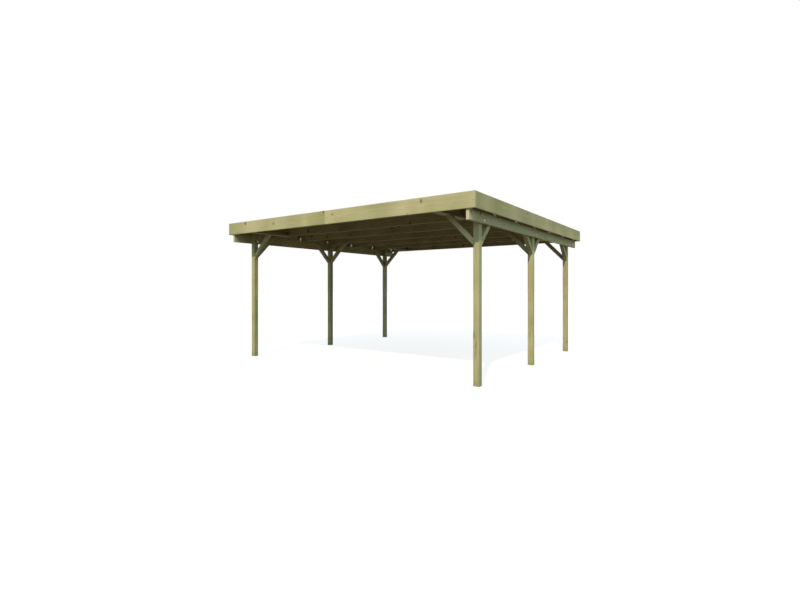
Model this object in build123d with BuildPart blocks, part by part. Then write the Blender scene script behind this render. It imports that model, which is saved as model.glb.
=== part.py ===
from build123d import *

import math
import os

# Carport with a flat roof on six posts. X runs across the front, Y from front to back, Z up.
# The origin is on the ground, in the middle of the roof's outline. All sizes in millimetres.

# Driving dimensions: the roof outline over the faces of the fascia boards
roof_width = 5244.0
roof_depth = 5196.0

# Posts: a square section, from the ground to the underside of the rafters
post_section = 90.0
post_height = 2390.0
side_overhang = 188.0
end_overhang = 458.0

# Beams: one board along each side, bolted to the outer faces of its three posts
beam_thickness = 45.0
beam_height = 150.0

# Rafters: boards on edge across both beams, at equal pitch between the end fascias
rafter_count = 7
rafter_thickness = 45.0
rafter_height = 145.0

# Fascia boards around the roof's edge. The end fascias cover the side boards' ends, and each is
# two boards that meet near mid-width
fascia_thickness = 28.0
fascia_height = 219.0
fascia_drop = 8.0
fascia_joint_x = -45.0
fascia_joint_gap = 2.0

# Roof boards on the rafters, with felt on top
deck_thickness = 19.0
deck_gap = 2.0
felt_thickness = 4.0

# Braces at 45 degrees, level with the rafters' underside at the top
brace_width = 70.0
brace_thickness = 70.0
brace_rise = 450.0

# Trimmers: boards laid flat between two rafters, over the braces that meet no rafter
trimmer_width = 145.0
trimmer_thickness = 45.0

# Angle brackets on the beams' top edges, against the rafters
bracket_width = 42.0
bracket_thickness = 2.5
bracket_base = 60.0
bracket_upright = 85.0

# Eased edges along the planed timber
edge_ease = 3.0

# Worked out from the driving dimensions
half_width = roof_width / 2
half_depth = roof_depth / 2
inner_half_width = half_width - fascia_thickness
inner_half_depth = half_depth - fascia_thickness
post_x = half_width - side_overhang
post_y = half_depth - end_overhang
beam_inner_face = post_x + post_section / 2
beam_x = beam_inner_face + beam_thickness / 2
beam_length = 2 * inner_half_depth
rafter_pitch = (2 * inner_half_depth - rafter_thickness) / (rafter_count - 1)
first_rafter_y = -inner_half_depth + rafter_thickness / 2
rafter_rows = [first_rafter_y + i * rafter_pitch for i in range(rafter_count)]
rafter_top = post_height + rafter_height
fascia_bottom = post_height - fascia_drop
deck_top = rafter_top + deck_thickness
brace_slant = brace_width * math.sqrt(2)
brace_foot = post_height - brace_rise
brace_top_middle = post_x - post_section / 2 - brace_rise + brace_slant / 2

sides = {"left": -1, "right": 1}
rows = {"front": -post_y, "middle": 0.0, "back": post_y}


def save(piece, label):
    """Label a finished piece and write it as parts/label.step."""
    piece.part.label = label
    export_step(piece.part, f"parts/{label}.step")


def board(low, high, along):
    """A planed board between two corners, with eased edges along one axis."""
    size = [b - a for a, b in zip(low, high)]
    middle = [(a + b) / 2 for a, b in zip(low, high)]
    with BuildPart() as piece:
        with BuildSketch(Plane.XY.offset(low[2])):
            with Locations((middle[0], middle[1])):
                Rectangle(size[0], size[1])
        extrude(amount=size[2])
        chamfer(piece.edges().filter_by(along), length=edge_ease)
    return piece


def upright_plane(x, y, direction):
    """A vertical plane at ground level: its local x runs along the direction, its local y is up."""
    heading = Vector(*direction)
    return Plane(origin=(x, y, 0), x_dir=heading, z_dir=heading.cross(Vector(0, 0, 1)))


def brace(plane):
    """A 45 degree brace that starts at the plane's origin, with a plumb cut and a level cut."""
    with BuildPart() as piece:
        with BuildSketch(plane):
            with BuildLine():
                Polyline(
                    (0, brace_foot),
                    (0, brace_foot + brace_slant),
                    (brace_rise - brace_slant, post_height),
                    (brace_rise, post_height),
                    close=True,
                )
            make_face()
        extrude(amount=brace_thickness / 2, both=True)
        slanted = piece.edges()
        for axis in (Axis.X, Axis.Y, Axis.Z):
            slanted = slanted.filter_by(axis, reverse=True)
        chamfer(slanted, length=edge_ease)
    return piece


def make_posts():
    for row, y in rows.items():
        for side, sign in sides.items():
            x = sign * post_x
            half = post_section / 2
            post = board((x - half, y - half, 0), (x + half, y + half, post_height), Axis.Z)
            save(post, f"post_{row}_{side}")


def make_beams():
    for side, sign in sides.items():
        x = sign * beam_x
        low = (x - beam_thickness / 2, -beam_length / 2, post_height - beam_height)
        high = (x + beam_thickness / 2, beam_length / 2, post_height)
        save(board(low, high, Axis.Y), f"beam_{side}")


def make_rafters():
    for number, y in enumerate(rafter_rows, start=1):
        low = (-inner_half_width, y - rafter_thickness / 2, post_height)
        high = (inner_half_width, y + rafter_thickness / 2, rafter_top)
        save(board(low, high, Axis.X), f"rafter_{number}")


def make_fascias():
    top = fascia_bottom + fascia_height
    for side, sign in sides.items():
        faces = sorted((sign * inner_half_width, sign * half_width))
        low = (faces[0], -inner_half_depth, fascia_bottom)
        high = (faces[1], inner_half_depth, top)
        save(board(low, high, Axis.Y), f"fascia_{side}")
        ends = sorted((fascia_joint_x + sign * fascia_joint_gap / 2, sign * half_width))
        for row, y_sign in (("front", -1), ("back", 1)):
            faces = sorted((y_sign * inner_half_depth, y_sign * half_depth))
            low = (ends[0], faces[0], fascia_bottom)
            high = (ends[1], faces[1], top)
            save(board(low, high, Axis.X), f"fascia_{row}_{side}")


def make_cross_braces():
    for row, y in rows.items():
        for side, sign in sides.items():
            face = sign * (post_x - post_section / 2)
            plane = upright_plane(face, y, (-sign, 0, 0))
            save(brace(plane), f"cross_brace_{row}_{side}")


def make_beam_braces():
    """The braces along the beams: one at each corner post, two at each middle post."""
    for side, sign in sides.items():
        x = sign * (beam_inner_face - brace_thickness / 2)
        starts = {
            "front": (rows["front"], 1),
            "middle_front": (rows["middle"], -1),
            "middle_back": (rows["middle"], 1),
            "back": (rows["back"], -1),
        }
        for name, (y, heading) in starts.items():
            face = y + heading * post_section / 2
            plane = upright_plane(x, face, (0, heading, 0))
            save(brace(plane), f"beam_brace_{name}_{side}")


def make_trimmers():
    """A flat board over each cross brace that has no rafter above it."""
    reach = (rafter_thickness + brace_thickness) / 2
    for row, y in rows.items():
        if any(abs(rafter_y - y) < reach for rafter_y in rafter_rows):
            continue
        before = max(rafter_y for rafter_y in rafter_rows if rafter_y < y)
        for side, sign in sides.items():
            x = sign * brace_top_middle
            low = (x - trimmer_width / 2, before + rafter_thickness / 2, post_height)
            high = (
                x + trimmer_width / 2,
                before + rafter_pitch - rafter_thickness / 2,
                post_height + trimmer_thickness,
            )
            save(board(low, high, Axis.Y), f"trimmer_{row}_{side}")


def make_brackets():
    """Angle brackets on the beams: behind the first rafter, and in front of all the others."""
    for side, sign in sides.items():
        with BuildPart() as brackets:
            for number, y in enumerate(rafter_rows):
                heading = 1 if number == 0 else -1
                face = y + heading * rafter_thickness / 2
                with BuildSketch(upright_plane(sign * beam_x, face, (0, heading, 0))):
                    with BuildLine():
                        Polyline(
                            (0, post_height),
                            (bracket_base, post_height),
                            (bracket_base, post_height + bracket_thickness),
                            (bracket_thickness, post_height + bracket_thickness),
                            (bracket_thickness, post_height + bracket_upright),
                            (0, post_height + bracket_upright),
                            close=True,
                        )
                    make_face()
                extrude(amount=bracket_width / 2, both=True)
        save(brackets, f"brackets_{side}")


def make_roof():
    deck_x = inner_half_width - deck_gap
    deck_y = inner_half_depth - deck_gap
    with BuildPart() as roof_boards:
        with BuildSketch(Plane.XY.offset(rafter_top)):
            Rectangle(2 * deck_x, 2 * deck_y)
        extrude(amount=deck_thickness)
    save(roof_boards, "roof_boards")
    with BuildPart() as roof_felt:
        with BuildSketch(Plane.XY.offset(deck_top)):
            Rectangle(2 * deck_x, 2 * deck_y)
        extrude(amount=felt_thickness)
    save(roof_felt, "roof_felt")


os.makedirs("parts", exist_ok=True)
make_posts()
make_beams()
make_rafters()
make_fascias()
make_cross_braces()
make_beam_braces()
make_trimmers()
make_brackets()
make_roof()
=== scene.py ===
"""Finishes the timber carport: sawn pine, roof boards, felt, steel fixings and a white studio.

The packed model gives every post, beam, rafter, brace and fascia board its shape and place.
This add-on gives each of them its own cut of treated pine, and adds what is made true to
scale here: tongued roof boards, lapped felt, angle brackets, coach bolts, screws and nails.
"""

import math
import random

import bmesh
import bpy
from mathutils import Matrix, Vector


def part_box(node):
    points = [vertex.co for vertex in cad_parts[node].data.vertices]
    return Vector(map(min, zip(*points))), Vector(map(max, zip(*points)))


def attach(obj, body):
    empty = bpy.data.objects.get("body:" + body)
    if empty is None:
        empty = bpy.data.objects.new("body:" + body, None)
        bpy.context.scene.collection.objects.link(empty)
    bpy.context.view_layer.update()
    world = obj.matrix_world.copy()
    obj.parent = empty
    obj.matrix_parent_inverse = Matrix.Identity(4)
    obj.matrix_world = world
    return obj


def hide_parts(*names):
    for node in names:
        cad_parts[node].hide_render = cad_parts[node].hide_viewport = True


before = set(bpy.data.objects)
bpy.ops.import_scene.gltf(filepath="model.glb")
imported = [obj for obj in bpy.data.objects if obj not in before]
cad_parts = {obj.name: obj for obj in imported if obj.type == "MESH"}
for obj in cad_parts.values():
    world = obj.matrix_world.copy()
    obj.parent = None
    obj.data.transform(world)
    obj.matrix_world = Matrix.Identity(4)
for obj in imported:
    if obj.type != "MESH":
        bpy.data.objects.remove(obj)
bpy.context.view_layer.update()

bl_info = {
    "name": "Timber Carport",
    "version": (1, 0, 0),
    "blender": (4, 5, 0),
    "location": "3D View > Sidebar > Carport",
    "description": "Finishes a flat-roofed timber carport and sets up its studio",
    "category": "Object",
}

BODY = "root"
SIDES = {"left": -1, "right": 1}
ROWS = ("front", "middle", "back")
# How a board differs from the others: how much greener it is, how light, and how far the
# treatment soaked into its ends, which makes them greener. Below zero the ends are paler. The
# lower lightness of the middle and back posts on the left is painted shade, as they stand deep
# under the roof
USUAL = (0.0, 1.0, 0.2)
UNLIKE_AND_PAINTED_SHADE = {
    "post_middle_right": (-0.15, 1.08, 0.2),
    "post_back_right": (-0.3, 1.06, 0.2),
    "post_middle_left": (0.0, 0.85, 0.2),
    "post_back_left": (-0.1, 0.85, 0.2),
    "fascia_front_left": (0.0, 1.02, 1.0),
    "fascia_right": (-0.1, 0.92, 0.2),
    "beam_right": (0.1, 1.0, -2.8),
    "cross_brace_front_right": (-0.12, 1.16, 0.2),
}
UP = Vector((0, 0, 1))
AXES = (Vector((1, 0, 0)), Vector((0, 1, 0)), UP)
# Places that are nearer than this are the same
TOUCH = 1e-6
# Faces that meet at less than this are shaded as one
SMOOTH = math.radians(35)


# ---- settings


def amount(name, description, default, **limits):
    return bpy.props.FloatProperty(
        name=name, description=description, default=default, **limits
    )


def length(name, description, metres):
    limits = {"min": 0.0, "precision": 4, "subtype": "DISTANCE", "unit": "LENGTH"}
    return amount(name, description, metres, **limits)


def turn(name, description, degrees):
    return amount(name, description, math.radians(degrees), subtype="ANGLE", unit="ROTATION")


def linear(value):
    """The linear level of a display value from 0 to 255."""
    level = value / 255
    return level / 12.92 if level <= 0.04045 else ((level + 0.055) / 1.055) ** 2.4


def paint(name, description, *display):
    """A colour property, with its default in display values from 0 to 255."""
    return bpy.props.FloatVectorProperty(
        name=name,
        description=description,
        default=[linear(value) for value in display],
        min=0.0,
        max=1.0,
        subtype="COLOR",
    )


class CarportTimber(bpy.types.PropertyGroup):
    """Colours and grain of the treated pine"""

    wood: paint("Wood", "Planed pine between its rings", 201, 190, 150)
    treatment: paint("Treatment", "Pine where the green treatment is strong", 168, 172, 116)
    latewood: paint("Latewood", "The dark line that ends each growth ring", 152, 136, 86)
    halo: paint("Halo", "The resin-rich wood round a knot", 152, 138, 84)
    knot: paint("Knot", "The hard wood of a knot", 116, 92, 58)
    knot_edge: paint("Knot edge", "The bark that rings a knot", 78, 62, 40)
    end_grain: paint("End grain", "Freshly sawn ends", 200, 195, 163)
    crack: paint("Crack", "The inside of a drying crack", 52, 44, 30)
    ring_width: length("Ring width", "Growth of the log in one year", 0.0045)
    knot_spacing: length("Knot spacing", "Distance between branches of the log", 0.17)
    knot_radius: length("Knot radius", "Radius of the largest knots", 0.024)


class CarportRoof(bpy.types.PropertyGroup):
    """Sizes of the roof boards and the felt"""

    board_cover: length("Board cover", "Width that one roof board covers, about", 0.12)
    board_joint: length("Board joint", "Size of the V joint between two boards", 0.004)
    tongue: length("Tongue", "How far a board's tongue stands out", 0.006)
    board_gap: length("Board gap", "Room that a board has to swell", 0.001)
    sheet_width: length("Sheet width", "Width of a sheet of felt, about", 1.0)
    sheet_lap: length("Sheet lap", "How far one sheet laps over the next", 0.08)
    sheet_thickness: length("Sheet thickness", "Thickness of the felt", 0.003)
    edging_width: length("Edging width", "How far the edge strips lie on the roof", 0.099)
    edging_rise: length("Edging rise", "How far the edge strips turn up the fascia", 0.034)
    felt: paint("Felt", "Slate grit on the felt", 92, 90, 88)
    bitumen: paint("Bitumen", "Bitumen pressed out along the laps", 30, 30, 31)
    bead: length("Bead", "Width of the bitumen along a lap", 0.007)


class CarportFixings(bpy.types.PropertyGroup):
    """Sizes of the bolts, brackets, screws and nails"""

    zinc: paint("Zinc", "Hot-dip galvanised plates", 238, 234, 224)
    bolt_zinc: paint("Bolt zinc", "Galvanised bolts, screws and nails", 204, 202, 195)
    bolt_head: length("Bolt head", "Diameter of a coach bolt's head", 0.026)
    bolt_dome: length("Bolt dome", "Height of a coach bolt's head", 0.006)
    bolt_shank: length("Bolt shank", "Diameter of a coach bolt", 0.010)
    bolt_end: length("Bolt end", "How far a bolt's thread stands out of its nut", 0.005)
    bolt_offset: length("Bolt offset", "From the post's middle line to the bolt", 0.030)
    bolt_edge: length("Bolt edge", "From the beam's lower edge to the bolt", 0.042)
    washer: length("Washer", "Diameter of a washer", 0.034)
    washer_thickness: length("Washer thickness", "Thickness of a washer", 0.0025)
    nut: length("Nut", "Width of a nut across its corners", 0.0196)
    nut_height: length("Nut height", "Height of a nut", 0.008)
    plate: length("Plate", "Thickness of an angle bracket", 0.0025)
    plate_hole: length("Plate hole", "Diameter of a bracket's nail holes", 0.005)
    plate_bend: length("Plate bend", "Outer radius of a bracket's bend", 0.006)
    plate_base: length("Plate base", "How far an angle bracket lies along the beam", 0.060)
    plate_corner: length("Plate corner", "Size of a bracket's cut corners", 0.004)
    screw_head: length("Screw head", "Diameter of a screw's head", 0.010)
    nail_head: length("Nail head", "Diameter of a nail's head", 0.009)
    felt_nail_head: length("Felt nail head", "Diameter of a felt nail's head", 0.010)
    felt_nail_step: length("Felt nail step", "Distance between felt nails", 0.10)


class CarportStudio(bpy.types.PropertyGroup):
    """The light, the floor and the camera"""

    key_turn: turn("Key turn", "How far round the key light stands, from the front", 20.3)
    key_height: turn("Key height", "How high the key light stands", 42.6)
    key_spread: turn("Key spread", "Apparent width of the key light", 0.8)
    key_strength: amount("Key strength", "Strength of the key light", 2.58, min=0.0)
    key_colour: paint("Key colour", "Colour of the key light", 255, 233, 207)
    fill_strength: amount("Fill strength", "Strength of the even light", 0.90, min=0.0)
    fill_colour: paint("Fill colour", "Colour of the even light", 208, 239, 255)
    floor_width: length("Floor width", "Width of the floor", 240.0)
    floor_glow: amount(
        "Floor glow", "The floor's own share of its white", 0.80, min=0, max=1, subtype="FACTOR"
    )
    floor_bounce: paint("Floor bounce", "What the floor reflects onto the object", 100, 87, 75)
    distance: length("Distance", "Level distance from the carport's middle", 9.444)
    azimuth: turn("Azimuth", "How far round the camera stands, from the front", 33.43)
    heading: turn("Heading", "Where the camera looks, from straight back", 35.40)
    eye_height: length("Eye height", "Height of the camera", 1.351)
    sensor: amount("Sensor", "Width of the camera's sensor", 36.0, unit="CAMERA")
    lens: amount("Lens", "Focal length of the lens", 20.5, unit="CAMERA")
    shift: amount("Shift", "Shift of the picture, up from eye level", -0.0148)


# ---- shader nodes


class Value:
    """An output socket of a node. Python's operators on it add Math nodes."""

    def __init__(self, nodes, socket):
        self.nodes = nodes
        self.socket = socket

    def __add__(self, other):
        return self.nodes.maths("ADD", self, other)

    def __sub__(self, other):
        return self.nodes.maths("SUBTRACT", self, other)

    def __rsub__(self, other):
        return self.nodes.maths("SUBTRACT", other, self)

    def __mul__(self, other):
        return self.nodes.maths("MULTIPLY", self, other)

    def __truediv__(self, other):
        return self.nodes.maths("DIVIDE", self, other)

    def __rtruediv__(self, other):
        return self.nodes.maths("DIVIDE", other, self)

    def __pow__(self, other):
        return self.nodes.maths("POWER", self, other)

    def __abs__(self):
        return self.nodes.maths("ABSOLUTE", self)

    __radd__ = __add__
    __rmul__ = __mul__


class Nodes:
    """Adds nodes to the tree of a material or a world."""

    def __init__(self, owner):
        owner.use_nodes = True
        self.tree = owner.node_tree
        self.tree.nodes.clear()

    def add(self, kind, settings=None, inputs=None, output=0):
        """Adds a node: its settings first, then its sockets' values or links."""
        node = self.tree.nodes.new("ShaderNode" + kind)
        for name, setting in (settings or {}).items():
            setattr(node, name, setting)
        for name, value in (inputs or {}).items():
            if isinstance(value, Value):
                self.tree.links.new(value.socket, node.inputs[name])
            else:
                node.inputs[name].default_value = value
        return Value(self, node.outputs[output]) if node.outputs else None

    def place(self, location=(0, 0, 0), rotation=(0, 0, 0)):
        """Object coordinates, measured from a place and along turned axes."""
        here = self.add("TexCoord", output="Object")
        settings = {"vector_type": "TEXTURE"}
        return self.add("Mapping", settings, {0: here, 1: location, 2: rotation})

    def maths(self, operation, first, second=0.0):
        return self.add("Math", {"operation": operation}, {0: first, 1: second})

    def vector(self, operation, first, second=(0, 0, 0), output=0):
        return self.add("VectorMath", {"operation": operation}, {0: first, 1: second}, output)

    def scaled(self, vector, factor):
        return self.add("VectorMath", {"operation": "SCALE"}, {0: vector, "Scale": factor})

    def parts(self, vector):
        """The three numbers of a vector."""
        split = self.add("SeparateXYZ", inputs={0: vector})
        return [Value(self, socket) for socket in split.socket.node.outputs]

    def noise(self, place, per_metre, detail=2.0, roughness=0.5, output=0):
        """Noise with its own frequency along each axis."""
        stretched = self.vector("MULTIPLY", place, per_metre)
        values = {"Vector": stretched, "Scale": 1.0, "Detail": detail, "Roughness": roughness}
        return self.add("TexNoise", inputs=values, output=output)

    def cells(self, place, scale):
        """Scattered points: the distance to the nearest, and a number that it has drawn."""
        distance = self.add("TexVoronoi", inputs={"Vector": place, "Scale": scale})
        colour = Value(self, distance.socket.node.outputs["Color"])
        return distance, self.parts(colour)[0]

    def ramp(self, value, start, end, low=0.0, high=1.0):
        """Rises smoothly from low to high while the value goes from start to end."""
        settings = {"interpolation_type": "SMOOTHSTEP", "clamp": True}
        values = {"Value": value, 1: start, 2: end, 3: low, 4: high}
        return self.add("MapRange", settings, values)

    def mix(self, factor, first, second):
        """Mixes two colours."""
        settings = {"data_type": "RGBA", "clamp_factor": True}
        first, second = [c if isinstance(c, Value) else (*c, 1.0) for c in (first, second)]
        return self.add("Mix", settings, {0: factor, 6: first, 7: second}, output=2)

    def layered(self, colour, *layers):
        """Lays colours over a colour, each with its own share."""
        for factor, layer in layers:
            colour = self.mix(factor, colour, layer)
        return colour

    def surface(self, colour, roughness, height, **constants):
        """The material's shader. The height is in metres."""
        bump = self.add("Bump", inputs={"Height": height, "Distance": 1.0, "Strength": 1.0})
        values = {"Base Color": colour, "Roughness": roughness, "Normal": bump}
        values.update({name.replace("_", " "): value for name, value in constants.items()})
        shader = self.add("BsdfPrincipled", inputs=values)
        self.add("OutputMaterial", inputs={"Surface": shader})


def new_material(name):
    material = bpy.data.materials.new(name)
    return material, Nodes(material)


# ---- timber


# Where a board's middle may lie along its log, in metres, so that no two boards look alike
LOG = (4, 90)
# How high and deep the marks of pine are, in metres
FIBRE_HEIGHT = 0.00012
RING_HEIGHT = 0.00015
KNOT_RIM_DEPTH = 0.0004
KNOT_SPLIT_DEPTH = 0.0006
CRACK_DEPTH = 0.002


def grain_axis(name):
    """The axis of a board's longest side."""
    low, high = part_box(name)
    return max(AXES, key=lambda axis: axis.dot(high - low))


class Cut:
    """How a board was cut from its log, and how its pine differs from the usual.

    The log's heart lies out through the board's thin side, and up to the spread away from there.
    The wider the girth, the more branches go round the log. The rest says how large the knots
    are, how green and light the board is, and how fresh its sawn ends are. On some boards the
    lightness is painted shade.
    """

    def __init__(
        self, name, heart, spread, girth, along=None, knots=1.0, green=0.0, tone=1.0, fresh=0.3
    ):
        draw = random.Random(name)
        low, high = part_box(name)
        self.name = name
        self.along = along or grain_axis(name)
        across = self.along.orthogonal().normalized()
        across.rotate(Matrix.Rotation(draw.uniform(0, math.tau), 3, self.along))
        thin = min(AXES, key=lambda axis: axis.dot(high - low))
        side = draw.choice((-1, 1))
        offset = thin * heart * side * draw.uniform(0.7, 1.3) + across * spread * draw.random()
        self.middle = draw.uniform(*LOG)
        self.heart = (low + high) / 2 + offset - self.along * self.middle
        self.turn = AXES[0].rotation_difference(self.along).to_euler()
        self.half_length = (high - low).dot(Vector([abs(part) for part in self.along])) / 2
        self.girth = girth
        self.knots = knots
        greener, lightness_and_painted_shade, self.soaked = UNLIKE_AND_PAINTED_SHADE.get(name, USUAL)
        self.green = green + greener + draw.uniform(-0.06, 0.06)
        self.tone = tone * lightness_and_painted_shade * draw.uniform(0.97, 1.03)
        self.fresh = fresh


def nearest_branch(nodes, place, look):
    """How far a place is from the nearest branch of its log, and a number that branch drew."""
    distance, draw = nodes.cells(place, 1 / look.knot_spacing)
    return distance * look.knot_spacing, draw


def bulge(nodes, near):
    """How much the rings bulge round a knot: fully at its middle, and less and less outside."""
    return nodes.maths("EXPONENT", near * near * -0.45)


def growth(nodes, place, radius, bent, look):
    """The log's years, counted from its heart, and the dark wood that ends each of them."""
    ripple = nodes.noise(place, (3, 40, 40), detail=1.0)
    years = (radius - bent + ripple * 0.002) / look.ring_width
    return years, nodes.maths("FRACT", years) ** 2.6


def streaks(nodes, place):
    """Streaks along the grain, where the treatment went in more or less."""
    return nodes.noise(place, (0.8, 26, 26), detail=3.0, roughness=0.6)


def fibres(nodes, place):
    """The fine fibres of sawn wood."""
    return nodes.noise(place, (7, 420, 420), roughness=0.7)


def pine(cut, look, cracks=0.0, foot=0.0, under=0.0):
    """Sawn, treated pine with rings, knots and streaks that belong to one board.

    It may have drying cracks, a foot that is darker up to a height, and painted shade on its
    underside.
    """
    material, nodes = new_material(cut.name + "_pine")
    place = nodes.place(cut.heart, cut.turn)

    # The log: its heart wanders, and branches run out from it
    drift = nodes.noise(place, (0.6, 0.6, 0.6), detail=1.0, output="Color")
    drift = nodes.scaled(nodes.vector("SUBTRACT", drift, (0.5, 0.5, 0.5)), 0.05)
    drifted = nodes.vector("ADD", place, drift)
    across = nodes.vector("MULTIPLY", drifted, (0, 1, 1))
    radius = nodes.vector("LENGTH", across, output="Value")
    bole = nodes.scaled(nodes.vector("NORMALIZE", across), cut.girth)
    bole = nodes.vector("ADD", bole, nodes.vector("MULTIPLY", place, (1, 0, 0)))
    branch, draw = nearest_branch(nodes, bole, look)
    size = nodes.ramp(draw, 0.2, 1.0, 0.06, 1.0) * look.knot_radius * cut.knots
    wobble = nodes.noise(place, (28, 28, 28))
    near = branch / size * (0.8 + 0.4 * wobble)
    knot = nodes.ramp(near, 1.1, 0.8)
    rim = nodes.ramp(near, 0.7, 0.95) * nodes.ramp(near, 1.2, 1.0)
    swell = bulge(nodes, near)
    knot_ring = nodes.maths("FRACT", near * 4.5)
    split_knot = nodes.noise(place, (110, 110, 110), detail=1.0)
    split_knot = nodes.ramp(abs(split_knot - 0.5), 0.03, 0.0) * nodes.ramp(near, 0.8, 0.5)

    # Growth rings, which bend round the knots
    years, late = growth(nodes, place, radius, swell * size * 0.55, look)
    late = late * (1 - knot)
    band = nodes.add("TexNoise", {"noise_dimensions": "1D"}, {"W": years * 0.31, "Detail": 2.0})

    # The treatment went in deeper along the grain, in clouds across it, and at the board's ends
    streak = streaks(nodes, drifted)
    patch = nodes.noise(place, (1.1, 4, 4))
    cloud = nodes.noise(place, (1.9, 1.2, 1.2), detail=2.5, roughness=0.45)
    fibre = fibres(nodes, place)
    from_end = cut.half_length - abs(nodes.parts(place)[0] - cut.middle)
    soaked = nodes.ramp(from_end + (patch - 0.5) * 0.4, 0.5, 0.0) * cut.soaked
    green = 0.5 + cut.green + soaked * 0.3 + (streak - 0.5) * 1.0 + (patch - 0.5) * 1.2
    green = green + (0.5 - cloud) * 1.15 + (band - 0.5) * 0.6
    colour = nodes.layered(
        look.wood,
        (green, look.treatment),
        (late * 0.5, look.latewood),
        (swell * 0.45, look.halo),
        (knot * (0.55 + 0.35 * knot_ring * wobble), look.knot),
        (rim * 0.55, look.knot_edge),
        (split_knot * 0.8, look.crack),
    )

    # Sawn ends
    normal = nodes.add("NewGeometry", output="Normal")
    facing = abs(nodes.vector("DOT_PRODUCT", normal, cut.along, output="Value"))
    end = nodes.ramp(facing, 0.8, 0.95)
    sawn = nodes.mix(late * 0.4, look.end_grain, look.latewood)
    colour = nodes.mix(end * cut.fresh, colour, sawn)

    shade = (0.95 + 0.1 * band) * (0.95 + 0.1 * fibre) * (0.9 + 0.2 * patch) * cut.tone
    shade = shade * (0.77 + 0.46 * cloud) * (1 - soaked * 0.05)
    height = fibre * FIBRE_HEIGHT + late * RING_HEIGHT
    height = height - rim * KNOT_RIM_DEPTH - split_knot * KNOT_SPLIT_DEPTH
    if cracks:
        seam = nodes.noise(place, (0.9, 16, 16))
        split = nodes.ramp(abs(seam - 0.5), 0.010, 0.0)
        open_part = nodes.ramp(nodes.noise(place, (2.2, 7, 7), detail=1.0), 0.52, 0.6)
        split = split * open_part * (1 - end) * cracks
        colour = nodes.mix(split, colour, look.crack)
        height = height - split * CRACK_DEPTH
    # Painted shade: faces that look down are made darker by this share
    if under:
        below = nodes.ramp(nodes.parts(normal)[2], -0.5, -0.7)
        shade = shade * (1 - below * under)
    # The post is darker towards its foot, up to the given height
    if foot:
        level = nodes.parts(nodes.add("TexCoord", output="Object"))[2]
        foot_darkening = nodes.ramp(level + (streak - 0.5) * 0.15, foot, 0.0)
        shade = shade * (1 - foot_darkening * 0.16)
    roughness = 0.78 - knot * 0.14 + (streak - 0.5) * 0.12
    nodes.surface(nodes.scaled(colour, shade), roughness, height, Specular_IOR_Level=0.18)
    return material


def finish_board(cut, look, **details):
    """Gives a board of the packed model its own cut of pine."""
    material = pine(cut, look, **details)
    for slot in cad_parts[cut.name].material_slots:
        slot.material = material


def named(start):
    """The names of the packed model's nodes that start with a word."""
    found = sorted(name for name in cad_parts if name.startswith(start))
    if not found:
        raise RuntimeError(f"the packed model has no node named {start}")
    return found


class CARPORT_OT_posts(bpy.types.Operator):
    """Gives each post its own pine, cut round the heart, with drying cracks and a darker foot"""

    bl_idname = "carport.posts"
    bl_label = "Posts"

    def execute(self, context):
        for name in named("post_"):
            cut = Cut(name, heart=0.012, spread=0.02, girth=0.045, knots=0.6, green=0.1)
            finish_board(cut, context.scene.carport_timber, cracks=0.8, foot=0.12)
        return {"FINISHED"}


class CARPORT_OT_frame(bpy.types.Operator):
    """Gives the beams, rafters and trimmers their pine, with painted shade on the rafters'
    undersides
    """

    bl_idname = "carport.frame"
    bl_label = "Beams and Rafters"

    def execute(self, context):
        look = context.scene.carport_timber
        log = {"heart": 0.05, "spread": 0.04, "girth": 0.07}
        for side in SIDES:
            finish_board(Cut(f"beam_{side}", **log, fresh=0.9), look, cracks=0.4)
        for name in named("rafter_"):
            cut = Cut(name, **log, knots=1.2, green=-0.08, tone=0.80)
            finish_board(cut, look, cracks=0.4, under=0.46)
        for name in named("trimmer_"):
            # The trimmers' low tone is painted shade for their place under the roof
            finish_board(Cut(name, **log, knots=1.2, tone=0.64), look, cracks=0.4)
        return {"FINISHED"}


def braces():
    return named("cross_brace_") + named("beam_brace_")


def brace_way(name):
    """The level direction in which a brace leaves its post."""
    words = name.split("_")
    post = f"post_{words[2]}_{words[-1]}"
    away = sum(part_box(name), Vector()) - sum(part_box(post), Vector())
    axis = max(AXES[:2], key=lambda axis: abs(axis.dot(away)))
    return axis * math.copysign(1, axis.dot(away))


class CARPORT_OT_braces(bpy.types.Operator):
    """Gives each brace its pine, with the grain along its slope"""

    bl_idname = "carport.braces"
    bl_label = "Braces"

    def execute(self, context):
        for name in braces():
            along = (brace_way(name) + UP).normalized()
            cut = Cut(name, heart=0.04, spread=0.02, girth=0.06, along=along, knots=0.6)
            finish_board(cut, context.scene.carport_timber)
        return {"FINISHED"}


class CARPORT_OT_fascias(bpy.types.Operator):
    """Gives each fascia board its pine, flat sawn, with the heart behind its face"""

    bl_idname = "carport.fascias"
    bl_label = "Fascias"

    def execute(self, context):
        for name in named("fascia_"):
            cut = Cut(name, heart=0.09, spread=0.05, girth=0.10)
            finish_board(cut, context.scene.carport_timber)
        return {"FINISHED"}


# ---- other materials


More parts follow.
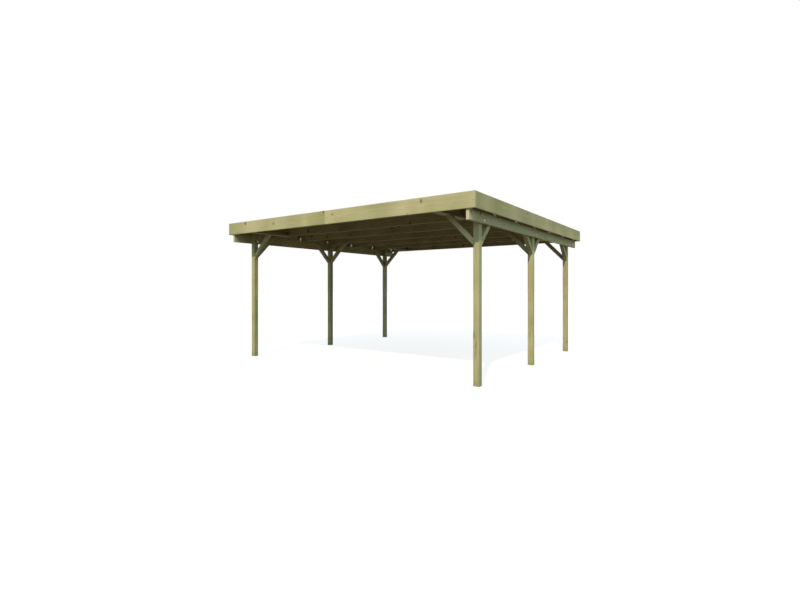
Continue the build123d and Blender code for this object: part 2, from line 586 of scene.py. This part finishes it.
def board_pine(look, low, cover):
    """Pine for the roof boards, each of which has a cut of its own."""
    material, nodes = new_material("roof_board_pine")
    place = nodes.place((low.x, 0, 0))
    x, y, z = nodes.parts(place)
    number = nodes.maths("FLOOR", x / cover)
    own = nodes.add("TexWhiteNoise", {"noise_dimensions": "1D"}, {"W": number}, output="Color")
    shift = nodes.parts(own)
    along = y + shift[0] * 60
    across = x - (number + 0.5) * cover + (shift[1] - 0.5) * 0.08
    out = z - low.z + 0.05 + shift[2] * 0.05
    heart = nodes.add("CombineXYZ", inputs={0: along, 1: across, 2: out})
    radius = nodes.vector("LENGTH", nodes.vector("MULTIPLY", heart, (0, 1, 1)), output="Value")
    near = nearest_branch(nodes, heart, look)[0] / look.knot_radius / (0.4 + 0.5 * shift[1])
    knot = nodes.ramp(near, 1.1, 0.8)
    swell = bulge(nodes, near)
    late = growth(nodes, heart, radius, swell * 0.008, look)[1]
    fibre = fibres(nodes, heart)
    green = (streaks(nodes, heart) - 0.5) * 1.4 + 0.05 + 0.2 * shift[2]
    stain = (swell * 0.3 + knot * 0.5, look.knot)
    colour = nodes.layered(look.wood, (green, look.treatment), (late * 0.5, look.latewood), stain)
    shade = (0.72 + 0.2 * shift[0]) * (0.95 + 0.1 * fibre)
    height = fibre * FIBRE_HEIGHT + late * RING_HEIGHT
    nodes.surface(nodes.scaled(colour, shade), 0.8 - knot * 0.1, height, Specular_IOR_Level=0.15)
    return material


def grit_felt(sizes, edge, pitch):
    """Roofing felt with a face of slate grit. Each sheet has its tone and a bead of bitumen."""
    material, nodes = new_material("grit_felt")
    place = nodes.place((edge, 0, 0))
    depth, grain = nodes.cells(place, 420)
    cloud = nodes.noise(place, (1.6, 0.7, 1.0), detail=5.0, roughness=0.65)
    wash = nodes.noise(place, (11, 2.2, 5), detail=4.0, roughness=0.6)
    dusty = nodes.ramp(cloud, 0.45, 0.8) * 0.3
    dust = [min(1.0, 1.5 * level + 0.02) for level in sizes.felt]
    tone = nodes.mix(dusty, sizes.felt, dust)
    across = nodes.parts(place)[0] / pitch
    number = nodes.maths("FLOOR", across)
    own = nodes.add("TexWhiteNoise", {"noise_dimensions": "1D"}, {"W": number + 0.5})
    past_lap = nodes.maths("FRACT", across) * pitch
    uneven = nodes.noise(place, (60, 24, 60))
    bead = nodes.ramp(past_lap, sizes.bead, sizes.bead * 0.6) * nodes.ramp(uneven, 0.36, 0.46)
    shade = (0.72 + 0.5 * grain) * (0.86 + 0.28 * wash) * (0.9 + 0.2 * own)
    tone = nodes.mix(bead, nodes.scaled(tone, shade), sizes.bitumen)
    height = (1 - depth) * 0.0006 * (1 - bead) + wash * 0.0004 + bead * 0.0012
    roughness = (0.92 - 0.1 * grain) * (1 - bead) + bead * 0.42
    nodes.surface(tone, roughness, height, Specular_IOR_Level=0.3)
    return material


def zinc(name, colour, dullness):
    """Galvanised steel with faint spangle and dull patches. Like fixings share one material."""
    if name in bpy.data.materials:
        return bpy.data.materials[name]
    material, nodes = new_material(name)
    place = nodes.place()
    spangle = nodes.cells(place, 260)[1]
    dull = nodes.noise(place, (60, 60, 60), detail=3.0)
    bloom = nodes.ramp(nodes.noise(place, (22, 22, 22)), 0.5, 0.75)
    tone = nodes.mix(bloom * 0.5, colour, [0.9 * level for level in colour])
    shade = 0.88 + 0.16 * spangle
    roughness = dullness + 0.12 * dull + 0.12 * bloom
    height = spangle * 0.00003 + dull * 0.00005
    nodes.surface(nodes.scaled(tone, shade), roughness, height, Metallic=0.9)
    return material


def bolt_zinc(sizes):
    return zinc("bolt_zinc", sizes.bolt_zinc, 0.42)


# ---- shapes


def block(shape, low, high):
    """Adds a box between two corners."""
    low, high = Vector(low), Vector(high)
    place = Matrix.LocRotScale((low + high) / 2, None, high - low)
    bmesh.ops.create_cube(shape, size=1.0, matrix=place)


def flat_sheet(shape, low, high, squares=1):
    """Adds a level sheet between two corners, at the height of the lower one."""
    low, high = Vector(low), Vector(high)
    middle = ((low.x + high.x) / 2, (low.y + high.y) / 2, low.z)
    place = Matrix.LocRotScale(middle, None, (high.x - low.x, high.y - low.y, 1))
    grid = bmesh.ops.create_grid(
        shape, x_segments=squares, y_segments=squares, size=0.5, matrix=place
    )
    return grid["verts"]


def outwards(shape):
    """Turns a shape's faces outwards, once its doubles are merged."""
    bmesh.ops.recalc_face_normals(shape, faces=shape.faces[:])
    return shape


def merged(shape, distance=TOUCH):
    bmesh.ops.remove_doubles(shape, verts=shape.verts[:], dist=distance)
    return shape


def side_face(shape, axis):
    """The face furthest along an axis."""
    return max(shape.faces, key=lambda face: face.calc_center_median().dot(axis))


def bevelled(shape, items, size, segments=1, affect="EDGES"):
    bmesh.ops.bevel(
        shape,
        geom=items,
        offset=size,
        offset_type="OFFSET",
        affect=affect,
        segments=segments,
        profile=0.5,
        material=-1,
    )


def inset(shape, faces, thickness, depth=0.0, even=True):
    """Insets a patch of faces, and raises it. An uneven inset moves corners by the thickness."""
    bmesh.ops.inset_region(
        shape,
        faces=faces,
        thickness=thickness,
        depth=depth,
        use_boundary=True,
        use_even_offset=even,
    )


def extruded(shape, edges):
    """Extrudes edges, and gives the new vertices, which still lie on the old."""
    grown = bmesh.ops.extrude_edge_only(shape, edges=edges)["geom"]
    return [item for item in grown if isinstance(item, bmesh.types.BMVert)]


def cut_off(shape, point, direction):
    """Cuts a shape at a plane, takes away what lies beyond it, and closes the cut."""
    bmesh.ops.bisect_plane(
        shape,
        geom=shape.verts[:] + shape.edges[:] + shape.faces[:],
        plane_co=point,
        plane_no=direction,
        clear_outer=True,
    )
    bmesh.ops.holes_fill(shape, edges=[edge for edge in shape.edges if edge.is_boundary])


def turned(profile, steps=16):
    """A shape turned about Z from a line of (radius, height) points that ends on the axis."""
    shape = bmesh.new()
    verts = [shape.verts.new((radius, 0, height)) for radius, height in profile]
    for first, second in zip(verts, verts[1:]):
        shape.edges.new((first, second))
    bmesh.ops.spin(
        shape,
        geom=shape.verts[:] + shape.edges[:],
        axis=UP,
        angle=math.tau,
        steps=steps,
        use_merge=True,
    )
    return outwards(merged(shape))


def nail_head(diameter, profile, steps):
    """A nail's head, turned from its profile."""
    return turned([(share * diameter / 2, height) for share, height in profile], steps)


def joined(shape, part, places):
    """Adds a copy of a part to a shape at each place, and frees the part."""
    mesh = bpy.data.meshes.new("part")
    part.to_mesh(mesh)
    part.free()
    for place in places:
        before = len(shape.verts)
        shape.from_mesh(mesh)
        shape.verts.ensure_lookup_table()
        bmesh.ops.transform(shape, matrix=place, verts=shape.verts[before:])
    bpy.data.meshes.remove(mesh)


def standing(point, direction, spin=0.0):
    """A place whose Z points along a direction, turned about it."""
    turn_to = UP.rotation_difference(Vector(direction)).to_matrix().to_4x4()
    return Matrix.Translation(point) @ turn_to @ Matrix.Rotation(spin, 4, "Z")


def new_object(name, shape, material):
    """Puts a shape into the scene as an object, and frees the shape."""
    mesh = bpy.data.meshes.new(name)
    shape.to_mesh(mesh)
    shape.free()
    mesh.materials.append(material)
    made = bpy.data.objects.new(name, mesh)
    bpy.context.scene.collection.objects.link(made)
    return made


def new_piece(name, shape, material):
    """Makes a finished piece out of a shape. It rides on the carport's one body."""
    for face in shape.faces:
        face.smooth = True
    piece = new_object(name, shape, material)
    piece.data.set_sharp_from_angle(angle=SMOOTH)
    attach(piece, BODY)
    return piece


def steel_piece(name, material, *fixings):
    """A piece of galvanised steel: pairs of a part and the places of its copies."""
    shape = bmesh.new()
    for part, places in fixings:
        joined(shape, part, places)
    return new_piece(name, shape, material)


def thicken(piece, thickness):
    """Gives a sheet its thickness, outwards from its faces."""
    modifier = piece.modifiers.new("Thickness", "SOLIDIFY")
    modifier.thickness = thickness
    modifier.offset = 1.0


def side_of(box, axis, sign):
    """Where a box ends on its high or its low side."""
    low, high = box
    return high[axis] if sign > 0 else low[axis]


def equal_steps(size, step):
    """The number of equal steps in a size, each as near as can be to one step, and their size."""
    count = round(size / step)
    return count, size / count


# ---- roof


class CARPORT_OT_roof_boards(bpy.types.Operator):
    """Lays tongued boards on the rafters, with V joints below"""

    bl_idname = "carport.roof_boards"
    bl_label = "Roof Boards"

    def execute(self, context):
        sizes = context.scene.carport_roof
        low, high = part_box("roof_boards")
        count, cover = equal_steps(high.x - low.x, sizes.board_cover)
        shape = bmesh.new()
        right = low.x + cover - sizes.board_gap
        block(shape, low, (right, high.y, high.z))
        joints = [
            edge
            for edge in shape.edges
            if all(abs(vert.co.z - low.z) < TOUCH for vert in edge.verts)
            and abs(edge.verts[0].co.y - edge.verts[1].co.y) > cover
        ]
        bevelled(shape, joints, sizes.board_joint)
        third = (high.z - low.z) / 3
        for axis, depth in ((AXES[0], sizes.tongue), (-AXES[0], -sizes.tongue - sizes.board_gap)):
            inset(shape, [side_face(shape, axis)], third, depth)
        boards = bmesh.new()
        places = [Matrix.Translation((number * cover, 0, 0)) for number in range(count)]
        joined(boards, shape, places)
        cut_off(boards, (high.x, 0, 0), AXES[0])
        material = board_pine(context.scene.carport_timber, low, cover)
        piece = new_piece("tongued_roof_boards", boards, material)
        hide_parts("roof_boards")
        return {"FINISHED"}


# The profile of a felt nail's head: shares of its radius, and heights
FELT_NAIL = ((0, 0.0012), (0.7, 0.001), (1, 0), (0, 0))
# How the felt lies: the squares along a sheet, the height of its waves, the slope at a lap, the
# bend up the fascias, how far behind a lap its nails go, and how far from the edge strips
SHEET_SQUARES = 48
WAVE = 0.002
LAP_SLOPE = 0.03
EDGE_BEND = 0.014
NAIL_INSET = 0.02
NAIL_MARGIN = 0.041


def wave(x, y):
    """The slight waves of felt that has lain in the sun."""
    return WAVE * (0.5 + 0.25 * (math.sin(2.9 * x + 1.3 * y) + math.sin(1.7 * x - 4.1 * y)))


class CARPORT_OT_felt(bpy.types.Operator):
    """Lays sheets of felt that lap over each other, and edge strips that turn up the fascias"""

    bl_idname = "carport.felt"
    bl_label = "Roof Felt"

    def execute(self, context):
        sizes = context.scene.carport_roof
        low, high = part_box("roof_felt")
        count, pitch = equal_steps(high.x - low.x, sizes.sheet_width)
        material = grit_felt(sizes, low.x, pitch)
        thickness = sizes.sheet_thickness
        sheets = bmesh.new()
        for number in range(count):
            start = low.x + number * pitch
            end = start + pitch
            left = start - (sizes.sheet_lap if number else 0)
            far = (end, high.y, low.z)
            for vert in flat_sheet(sheets, (left, low.y, low.z), far, SHEET_SQUARES):
                x, y, z = vert.co
                rise = (x - (end - sizes.sheet_lap - LAP_SLOPE)) / LAP_SLOPE
                lift = thickness * max(0.0, min(1.0, rise)) if number < count - 1 else 0
                vert.co.z = z + lift + wave(x, y)
        piece = new_piece("felt_sheets", sheets, material)
        thicken(piece, thickness)
        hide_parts("roof_felt")

        strip = bmesh.new()
        flat_sheet(strip, (low.x, low.y, low.z + 2 * thickness + WAVE), high)
        field = strip.faces[:]
        inset(strip, field, sizes.edging_width)
        bmesh.ops.delete(strip, geom=field, context="FACES")
        inner = high.x - sizes.edging_width / 2
        rim = [
            edge for edge in strip.edges if edge.is_boundary and abs(edge.verts[0].co.x) > inner
        ]
        bmesh.ops.translate(strip, vec=(0, 0, sizes.edging_rise), verts=extruded(strip, rim))
        bevelled(strip, rim, EDGE_BEND, segments=3)
        thicken(new_piece("felt_edging", outwards(strip), material), thickness)
        return {"FINISHED"}


class CARPORT_OT_felt_nails(bpy.types.Operator):
    """Nails the felt down along its laps"""

    bl_idname = "carport.felt_nails"
    bl_label = "Felt Nails"

    def execute(self, context):
        sizes = context.scene.carport_roof
        fixings = context.scene.carport_fixings
        low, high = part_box("roof_felt")
        count, pitch = equal_steps(high.x - low.x, sizes.sheet_width)
        inner = high.y - sizes.edging_width - NAIL_MARGIN
        steps = int(2 * inner / fixings.felt_nail_step)
        places = []
        for lap in range(1, count):
            x = low.x + lap * pitch - NAIL_INSET
            for step in range(steps):
                y = -inner + (step + 0.5) * 2 * inner / steps
                z = low.z + 2 * sizes.sheet_thickness + wave(x, y)
                places.append(Matrix.Translation((x, y, z)))
        head = nail_head(fixings.felt_nail_head, FELT_NAIL, steps=8)
        steel_piece("felt_nails", bolt_zinc(fixings), (head, places))
        return {"FINISHED"}


# ---- fixings

# A bracket's nails, its rows and columns of holes, its bend, and the rib in its corner
PLATE_NAIL = ((0, 0.0018), (0.6, 0.0015), (1, 0.0006), (1, 0), (0, 0))
BASE_ROWS = 2
UPRIGHT_ROWS = 3
COLUMNS = 2
BEND_STEPS = 4
RIB_REACH = 0.026
RIB_THICKNESS = 0.008
RIB_ROUND = 0.003
# The straight rim of a bolt's head, the cut edges of a washer and a nut, and the thread
HEAD_RIM = 0.0012
WASHER_EDGE = 0.0006
NUT_EDGE = 0.0009
THREAD_PITCH = 0.00125
THREAD_ROOT = 0.86
# A screw's head. Its dish and its face are shares of its radius, and the dents of its star are
# a share of the star's points
HEAD_PROUD = 0.0001
HEAD_DISH = 0.0004
HEAD_HEIGHT = 0.003
SOCKET_DEPTH = 0.0018
SOCKET_TAPER = 0.00005
DISH_SHARE = 0.12
FACE_SHARE = 0.42
STAR_SHARE = 0.72
# Where the screws go: in from a board's end, along and aside, and up the rafters' height
BRACE_SCREW_END = 0.05
BRACE_SCREW_ALONG = 0.012
BRACE_SCREW_ASIDE = 0.010
FASCIA_SCREW_END = 0.05
FASCIA_SCREW_STEP = 0.6
FASCIA_SCREW_HEIGHTS = (0.22, 0.78)


def holed_cell(shape, width, height, hole, middle):
    """Adds a flat rectangle round a hole, in the XY plane."""
    ring = bmesh.ops.create_circle(shape, segments=16, radius=hole / 2)["verts"]
    edges = list(dict.fromkeys(edge for vert in ring for edge in vert.link_edges))
    outer = extruded(shape, edges)
    for vert in outer:
        reach = max(abs(vert.co.x), abs(vert.co.y))
        vert.co = Vector((vert.co.x / reach * width / 2, vert.co.y / reach * height / 2, 0))
    bmesh.ops.translate(shape, vec=middle, verts=ring + outer)
    return ring + outer


def hole_rows(bend, end, rows):
    """How far along a bracket's leg the middles of its rows of holes are."""
    return [bend + (row + 0.5) * (end - bend) / rows for row in range(rows)]


def hole_columns(width):
    """How far aside the middles of a bracket's columns of holes are."""
    return [(column + 0.5) * width / COLUMNS - width / 2 for column in range(COLUMNS)]


def angle_plate(sizes, width, base, upright):
    """A bent plate with nail holes. It lies along +Y and stands along +Z."""
    bend = sizes.plate_bend
    shape = bmesh.new()
    for end, rows in ((base, BASE_ROWS), (upright, UPRIGHT_ROWS)):
        size = (width / COLUMNS, (end - bend) / rows)
        cells = []
        for x in hole_columns(width):
            for y in hole_rows(bend, end, rows):
                cells += holed_cell(shape, *size, sizes.plate_hole, (x, y, 0))
        if end == upright:
            quarter = Matrix.Rotation(math.pi / 2, 4, "X")
            bmesh.ops.transform(shape, matrix=quarter, verts=cells)
    merged(shape)
    start = [
        edge for edge in shape.edges if all(abs(vert.co.y - bend) < TOUCH for vert in edge.verts)
    ]
    bmesh.ops.spin(
        shape,
        geom=start + list(dict.fromkeys(vert for edge in start for vert in edge.verts)),
        cent=(0, bend, bend),
        axis=AXES[0],
        angle=-math.pi / 2,
        steps=BEND_STEPS,
    )
    merged(shape, 10 * TOUCH)
    corners = [
        vert
        for vert in shape.verts
        if abs(abs(vert.co.x) - width / 2) < TOUCH
        and (abs(vert.co.y - base) < TOUCH or abs(vert.co.z - upright) < TOUCH)
    ]
    bevelled(shape, corners, sizes.plate_corner, affect="VERTICES")
    outwards(shape)
    if side_face(shape, AXES[1]).normal.z < 0:
        bmesh.ops.reverse_faces(shape, faces=shape.faces[:])
    return shape


def stiffener(bend, plate):
    """The rib that stands in a bracket's corner."""
    shape = bmesh.new()
    half = RIB_THICKNESS / 2
    block(shape, (-half, plate / 2, plate / 2), (half, RIB_REACH, RIB_REACH))
    cut_off(shape, (0, RIB_REACH, plate), AXES[1] + UP)
    slope = [
        edge
        for edge in shape.edges
        if abs(edge.verts[0].co.y - edge.verts[1].co.y) > bend
        and abs(edge.verts[0].co.z - edge.verts[1].co.z) > bend
    ]
    bevelled(shape, slope, RIB_ROUND, segments=3)
    return outwards(shape)


def bracket_places(side):
    """A place for each rafter's bracket: on the beam, against the rafter."""
    beam_low, beam_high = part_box(f"beam_{side}")
    places = []
    for name in named("rafter_"):
        low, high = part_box(name)
        first = name == "rafter_1"
        face = high.y if first else low.y
        point = ((beam_low.x + beam_high.x) / 2, face, beam_high.z)
        around = 0.0 if first else math.pi
        places.append(Matrix.Translation(point) @ Matrix.Rotation(around, 4, "Z"))
    return places


class CARPORT_OT_brackets(bpy.types.Operator):
    """Puts a ribbed angle bracket with its nails at each rafter, on both beams"""

    bl_idname = "carport.brackets"
    bl_label = "Angle Brackets"

    def execute(self, context):
        sizes = context.scene.carport_fixings
        material = zinc("plate_zinc", sizes.zinc, 0.7)
        bend, base = sizes.plate_bend, sizes.plate_base
        for side in SIDES:
            node = f"brackets_{side}"
            low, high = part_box(node)
            width, upright = high.x - low.x, high.z - low.z
            places = bracket_places(side)
            plate = angle_plate(sizes, width, base, upright)
            piece = steel_piece(f"angle_plates_{side}", material, (plate, places))
            thicken(piece, sizes.plate)
            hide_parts(node)
            spots = []
            for x in hole_columns(width):
                for y in hole_rows(bend, base, BASE_ROWS):
                    spots.append(Matrix.Translation((x, y, sizes.plate)))
                for z in hole_rows(bend, upright, UPRIGHT_ROWS):
                    spots.append(standing((x, sizes.plate, z), AXES[1]))
            nail = nail_head(sizes.nail_head, PLATE_NAIL, steps=12)
            nails = (nail, [place @ spot for place in places for spot in spots])
            rib = (stiffener(bend, sizes.plate), places)
            steel_piece(f"bracket_ribs_nails_{side}", material, rib, nails)
        return {"FINISHED"}


class CARPORT_OT_bolts(bpy.types.Operator):
    """Puts a coach bolt through the beam at each post, with a washer and a nut inside"""

    bl_idname = "carport.bolts"
    bl_label = "Coach Bolts"

    def execute(self, context):
        sizes = context.scene.carport_fixings
        outside, inside = [], []
        for side, sign in SIDES.items():
            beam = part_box(f"beam_{side}")
            for row in ROWS:
                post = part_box(f"post_{row}_{side}")
                y = (post[0].y + post[1].y) / 2 + sizes.bolt_offset
                z = beam[0].z + sizes.bolt_edge
                outer, inner = side_of(beam, 0, sign), side_of(post, 0, -sign)
                outside.append(standing((outer, y, z), (sign, 0, 0), spin=y))
                inside.append(standing((inner, y, z), (-sign, 0, 0), spin=3 * y + z))
        steel_piece(
            "coach_bolts",
            bolt_zinc(sizes),
            (self.head(sizes), outside),
            (self.washer(sizes), inside),
            (self.nut(sizes), inside),
            (self.thread(sizes), inside),
        )
        return {"FINISHED"}

    def head(self, sizes):
        radius = sizes.bolt_head / 2
        dome = [(0, sizes.bolt_dome)]
        for angle in map(math.radians, (72, 54, 36, 18, 0)):
            rise = (sizes.bolt_dome - HEAD_RIM) * math.sin(angle)
            dome.append((radius * math.cos(angle), HEAD_RIM + rise))
        return turned(dome + [(radius, 0), (0, 0)], steps=24)

    def washer(self, sizes):
        radius, thick = sizes.washer / 2, sizes.washer_thickness
        top = [(0, thick), (radius - WASHER_EDGE, thick), (radius, thick - WASHER_EDGE)]
        return turned(top + [(radius, 0), (0, 0)], steps=24)

    def nut(self, sizes):
        shape = bmesh.new()
        middle = sizes.washer_thickness + sizes.nut_height / 2
        bmesh.ops.create_cone(
            shape,
            cap_ends=True,
            segments=6,
            radius1=sizes.nut / 2,
            radius2=sizes.nut / 2,
            depth=sizes.nut_height,
            matrix=Matrix.Translation((0, 0, middle)),
        )
        rim = [edge for edge in shape.edges if all(vert.co.z > middle for vert in edge.verts)]
        bevelled(shape, rim, NUT_EDGE)
        return shape

    def thread(self, sizes):
        start = sizes.washer_thickness + sizes.nut_height
        shank = sizes.bolt_shank / 2
        root = shank * THREAD_ROOT
        profile = [(0, start + sizes.bolt_end)]
        for number in range(int(sizes.bolt_end / THREAD_PITCH), 0, -1):
            profile.append((root, start + number * THREAD_PITCH))
            profile.append((shank, start + (number - 0.5) * THREAD_PITCH))
        return turned(profile + [(root, start), (0, start)], steps=16)


def screw_head(diameter):
    """A countersunk head, level with the wood, with a star-shaped socket in it."""
    shape = bmesh.new()
    radius = diameter / 2
    bmesh.ops.create_circle(shape, cap_ends=True, segments=12, radius=radius)
    bmesh.ops.translate(shape, vec=(0, 0, HEAD_PROUD - HEAD_DISH), verts=shape.verts[:])
    face = shape.faces[:]
    inset(shape, face, radius * DISH_SHARE, HEAD_DISH, even=False)
    inset(shape, face, radius * FACE_SHARE, even=False)
    for vert in list(face[0].verts)[1::2]:
        vert.co.xy *= STAR_SHARE
    inset(shape, face, SOCKET_TAPER, -SOCKET_DEPTH, even=False)
    below = extruded(shape, [edge for edge in shape.edges if edge.is_boundary])
    bmesh.ops.translate(shape, vec=(0, 0, -HEAD_HEIGHT), verts=below)
    bmesh.ops.holes_fill(shape, edges=shape.edges[:])
    return outwards(shape)


def screw_piece(name, sizes, places):
    steel_piece(name, bolt_zinc(sizes), (screw_head(sizes.screw_head), places))


class CARPORT_OT_brace_screws(bpy.types.Operator):
    """Screws each brace to its post and to the timber above it"""

    bl_idname = "carport.brace_screws"
    bl_label = "Brace Screws"

    def execute(self, context):
        sizes = context.scene.carport_fixings
        places = []
        for name in braces():
            way = brace_way(name)
            low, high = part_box(name)
            start = Vector([low[i] if way[i] > 0 else high[i] for i in range(3)])
            aside = way.cross(UP)
            start += aside * ((low + high) / 2 - start).dot(aside)
            start.z = low.z
            along = (way + UP).normalized()
            below = (way - UP).normalized()
            reach = (high.z - low.z) * math.sqrt(2)
            for distance in (BRACE_SCREW_END, reach - BRACE_SCREW_END):
                for side in SIDES.values():
                    point = start + along * (distance + side * BRACE_SCREW_ALONG)
                    point += aside * side * BRACE_SCREW_ASIDE
                    places.append(standing(point, below, spin=point.x + point.y))
        screw_piece("brace_screws", sizes, places)
        return {"FINISHED"}


class CARPORT_OT_fascia_screws(bpy.types.Operator):
    """Screws the fascias to the rafters' ends and to the first and last rafter"""

    bl_idname = "carport.fascia_screws"
    bl_label = "Fascia Screws"

    def execute(self, context):
        sizes = context.scene.carport_fixings
        rafters = [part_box(name) for name in named("rafter_")]
        low, high = rafters[0]
        heights = [low.z + (high.z - low.z) * part for part in FASCIA_SCREW_HEIGHTS]
        places = []
        for side, sign in SIDES.items():
            x = side_of(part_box(f"fascia_{side}"), 0, sign)
            for low, high in rafters:
                y = (low.y + high.y) / 2
                places += [standing((x, y, z), (sign, 0, 0), spin=7 * y + z) for z in heights]
        for row, way in (("front", -1), ("back", 1)):
            for side in SIDES:
                low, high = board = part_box(f"fascia_{row}_{side}")
                y = side_of(board, 1, way)
                start = low.x + FASCIA_SCREW_END
                gaps, step = equal_steps(high.x - FASCIA_SCREW_END - start, FASCIA_SCREW_STEP)
                for x in [start + number * step for number in range(gaps + 1)]:
                    places += [standing((x, y, z), (0, way, 0), spin=5 * x + z) for z in heights]
        screw_piece("fascia_screws", sizes, places)
        return {"FINISHED"}


# ---- studio

# The floor lies a little below the posts' feet, and glows a little more than white needs
FLOOR_DROP = 0.001
GLOW_SPARE = 0.05


class CARPORT_OT_studio(bpy.types.Operator):
    """Sets up the pale floor, the even light, the key light and the camera"""

    bl_idname = "carport.studio"
    bl_label = "Studio"

    def execute(self, context):
        scene = context.scene
        sizes = scene.carport_studio
        scene.view_settings.view_transform = "Standard"
        self.make_floor(sizes)
        self.make_world(scene, sizes)
        self.make_key(scene, sizes)
        self.make_camera(scene, sizes)
        return {"FINISHED"}

    def seen(self, nodes):
        """1 for what the camera sees, also in gloss or glass, and 0 for light on the object."""
        path = nodes.add("LightPath").socket.node.outputs
        names = ("Is Camera Ray", "Is Glossy Ray", "Is Transmission Ray")
        camera, gloss, glass = [Value(nodes, path[name]) for name in names]
        settings = {"operation": "ADD", "use_clamp": True}
        return nodes.add("Math", settings, {0: camera + gloss, 1: glass})

    def make_floor(self, sizes):
        material, nodes = new_material("white_floor")
        pale = nodes.add("BsdfDiffuse", inputs={"Color": (1 - sizes.floor_glow,) * 3 + (1,)})
        glow = nodes.add("Emission", inputs={"Strength": sizes.floor_glow + GLOW_SPARE})
        white = nodes.add("AddShader", inputs={0: pale, 1: glow})
        bounce = nodes.add("BsdfDiffuse", inputs={"Color": (*sizes.floor_bounce, 1)})
        shader = nodes.add("MixShader", inputs={0: self.seen(nodes), 1: bounce, 2: white})
        nodes.add("OutputMaterial", inputs={"Surface": shader})
        material.cycles.emission_sampling = "NONE"
        shape = bmesh.new()
        reach = sizes.floor_width / 2
        flat_sheet(shape, (-reach, -reach, -FLOOR_DROP), (reach, reach, 0))
        floor = new_object("floor", shape, material)

    def make_world(self, scene, sizes):
        scene.world = bpy.data.worlds.new("studio")
        nodes = Nodes(scene.world)
        colour = (*sizes.fill_colour, 1)
        fill = nodes.add("Background", inputs={0: colour, 1: sizes.fill_strength})
        white = nodes.add("Background", inputs={0: (1, 1, 1, 1), 1: 1.0})
        shader = nodes.add("MixShader", inputs={0: self.seen(nodes), 1: fill, 2: white})
        nodes.add("OutputWorld", inputs={"Surface": shader})

    def make_key(self, scene, sizes):
        light = bpy.data.lights.new("key", "SUN")
        light.energy = sizes.key_strength
        light.color = sizes.key_colour
        light.angle = sizes.key_spread
        key = bpy.data.objects.new("key", light)
        key.rotation_euler = (math.pi / 2 - sizes.key_height, 0, sizes.key_turn)
        scene.collection.objects.link(key)

    def make_camera(self, scene, sizes):
        lens = bpy.data.cameras.new("camera")
        lens.sensor_width = sizes.sensor
        lens.lens = sizes.lens
        lens.shift_y = sizes.shift
        camera = bpy.data.objects.new("camera", lens)
        across = math.sin(sizes.azimuth) * sizes.distance
        out = -math.cos(sizes.azimuth) * sizes.distance
        camera.location = (across, out, sizes.eye_height)
        camera.rotation_euler = (math.pi / 2, 0, sizes.heading)
        scene.collection.objects.link(camera)
        scene.camera = camera


# ---- add-on


class CARPORT_PT_panel(bpy.types.Panel):
    """Lists the carport's sizes, colours and pieces"""

    bl_idname = "CARPORT_PT_panel"
    bl_label = "Timber Carport"
    bl_space_type = "VIEW_3D"
    bl_region_type = "UI"
    bl_category = "Carport"

    def draw(self, context):
        for name, group in GROUPS.items():
            box = self.layout.box()
            box.label(text=group.__doc__)
            for setting in group.__annotations__:
                box.prop(getattr(context.scene, name), setting)
        for operator in OPERATORS:
            self.layout.operator(operator.bl_idname)


GROUPS = {
    "carport_timber": CarportTimber,
    "carport_roof": CarportRoof,
    "carport_fixings": CarportFixings,
    "carport_studio": CarportStudio,
}
OPERATORS = (
    CARPORT_OT_posts,
    CARPORT_OT_frame,
    CARPORT_OT_braces,
    CARPORT_OT_fascias,
    CARPORT_OT_roof_boards,
    CARPORT_OT_felt,
    CARPORT_OT_felt_nails,
    CARPORT_OT_brackets,
    CARPORT_OT_bolts,
    CARPORT_OT_brace_screws,
    CARPORT_OT_fascia_screws,
    CARPORT_OT_studio,
)


def register():
    for made in (*GROUPS.values(), *OPERATORS, CARPORT_PT_panel):
        bpy.utils.register_class(made)
    for name, group in GROUPS.items():
        setattr(bpy.types.Scene, name, bpy.props.PointerProperty(type=group))


def unregister():
    for name in GROUPS:
        delattr(bpy.types.Scene, name)
    for made in (CARPORT_PT_panel, *reversed(OPERATORS), *reversed(GROUPS.values())):
        bpy.utils.unregister_class(made)


def main():
    register()
    for operator in OPERATORS:
        group, name = operator.bl_idname.split(".")
        getattr(getattr(bpy.ops, group), name)()


if __name__ == "__main__":
    main()
